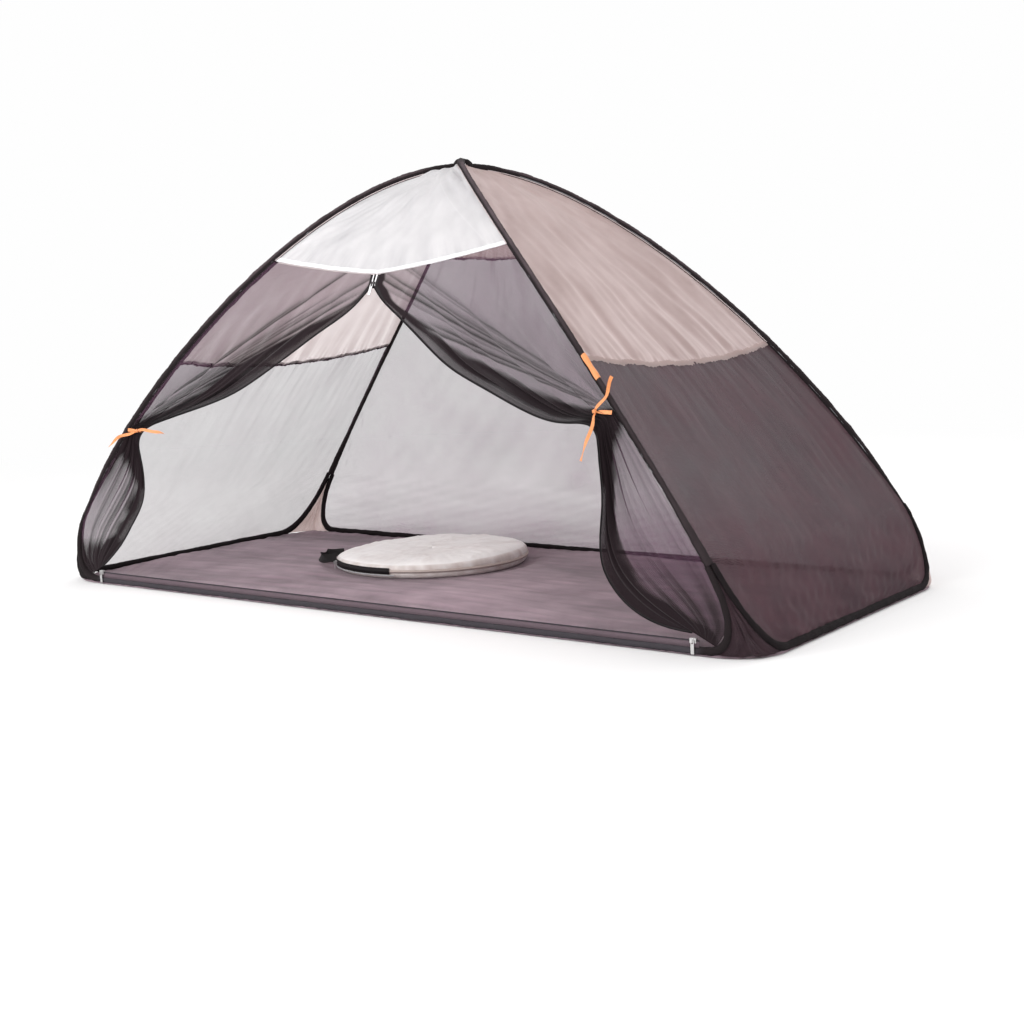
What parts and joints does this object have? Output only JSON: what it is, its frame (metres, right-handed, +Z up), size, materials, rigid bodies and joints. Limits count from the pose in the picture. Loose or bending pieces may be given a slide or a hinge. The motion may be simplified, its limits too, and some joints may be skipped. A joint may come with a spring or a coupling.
{
  "type": "mosquito net tent",
  "caption": "Self-standing net tent for a bed: two bowed ridges cross at the top, cloth roof, net walls, and a zipped front door tied open at both sides.",
  "frame": {"origin": "centre of the bounding box's bottom, on the underside of the floor sheet", "axes": "+X along the long side to the viewer's right, +Y from the door to the back wall, +Z up"},
  "size_m": [2, 0.9306, 1.008],
  "materials": {
    "spring_wire": "satin",
    "black_sleeve": "matte",
    "white_roof": "matte",
    "beige_roof": "matte",
    "dark_net": "matte",
    "light_net": "matte",
    "zip_tape": "matte",
    "orange_ribbon": "satin",
    "floor_cloth": "matte",
    "zip_metal": "satin",
    "bag_cloth": "matte",
    "black_webbing": "matte"
  },
  "bodies": {
    "tent": {"side_wire_loop": "spring_wire", "end_wire_loop": "spring_wire", "ridge_sleeve_lower": "black_sleeve", "ridge_sleeve_upper": "black_sleeve", "apex_strap": "black_sleeve", "bottom_sleeve_front": "black_sleeve", "bottom_sleeve_back": "black_sleeve", "bottom_sleeve_left": "black_sleeve", "bottom_sleeve_right": "black_sleeve", "gusset_front_left": "black_sleeve", "gusset_front_right": "black_sleeve", "gusset_back_left": "beige_roof", "gusset_back_right": "beige_roof", "roof_front": "white_roof", "roof_back": "beige_roof", "roof_left": "beige_roof", "roof_right": "beige_roof", "net_back": "light_net", "net_left": "dark_net", "net_right": "dark_net", "door_net_left": "dark_net", "door_net_right": "dark_net", "door_zip_left": "zip_tape", "door_zip_right": "zip_tape", "front_floor_zip": "zip_tape", "tie_ribbon_left": "orange_ribbon", "tie_ribbon_right": "orange_ribbon", "label_tab": "orange_ribbon", "floor_sheet": "floor_cloth"},
    "left_runner": {"left_slider": "zip_metal"},
    "left_tag": {"left_pull": "zip_metal"},
    "right_runner": {"right_slider": "zip_metal"},
    "right_tag": {"right_pull": "zip_metal"},
    "top_runner": {"door_top_slider": "zip_metal"},
    "top_tag": {"door_top_pull": "zip_metal"},
    "bag": {"storage_bag": "bag_cloth", "bag_zip": "zip_tape", "bag_handle": "black_webbing"},
    "bag_runner": {"bag_slider": "zip_metal"},
    "bag_tag": {"bag_pull": "zip_metal"}
  },
  "joints": [
    {"name": "left_zip_travel", "type": "slide", "parent": "tent", "child": "left_runner", "axis": [1, 0, 0], "range_m": [0, 0.8]},
    {"name": "left_pull_swing", "type": "hinge", "parent": "left_runner", "child": "left_tag", "pos_m": [-0.856, -0.45286, 0.02996], "axis": [-1, 0, 0], "range_deg": [0, 110]},
    {"name": "right_zip_travel", "type": "slide", "parent": "tent", "child": "right_runner", "axis": [-1, 0, 0], "range_m": [0, 0.8]},
    {"name": "right_pull_swing", "type": "hinge", "parent": "right_runner", "child": "right_tag", "pos_m": [0.856, -0.45286, 0.02996], "axis": [-1, 0, 0], "range_deg": [0, 110]},
    {"name": "top_zip_travel", "type": "slide", "parent": "tent", "child": "top_runner", "axis": [0, 0.4449, 0.8956], "range_m": [0, 0.01]},
    {"name": "top_pull_swing", "type": "hinge", "parent": "top_runner", "child": "top_tag", "pos_m": [0, -0.34393, 0.7236], "axis": [-1, 0, 0], "range_deg": [0, 110]},
    {"name": "bag_lift_out", "type": "slide", "parent": "tent", "child": "bag", "axis": [0, -0.9659, 0.2588], "range_m": [0, 0.95]},
    {"name": "bag_zip_travel", "type": "hinge", "parent": "bag", "child": "bag_runner", "pos_m": [-0.275, 0.16, 0.0213], "axis": [0, 0, 1], "range_deg": [0, 165]},
    {"name": "bag_pull_swing", "type": "hinge", "parent": "bag_runner", "child": "bag_tag", "pos_m": [-0.43613, -0.04112, 0.0213], "axis": [-0.7804, 0.6252, 0], "range_deg": [0, 95]}
  ]
}
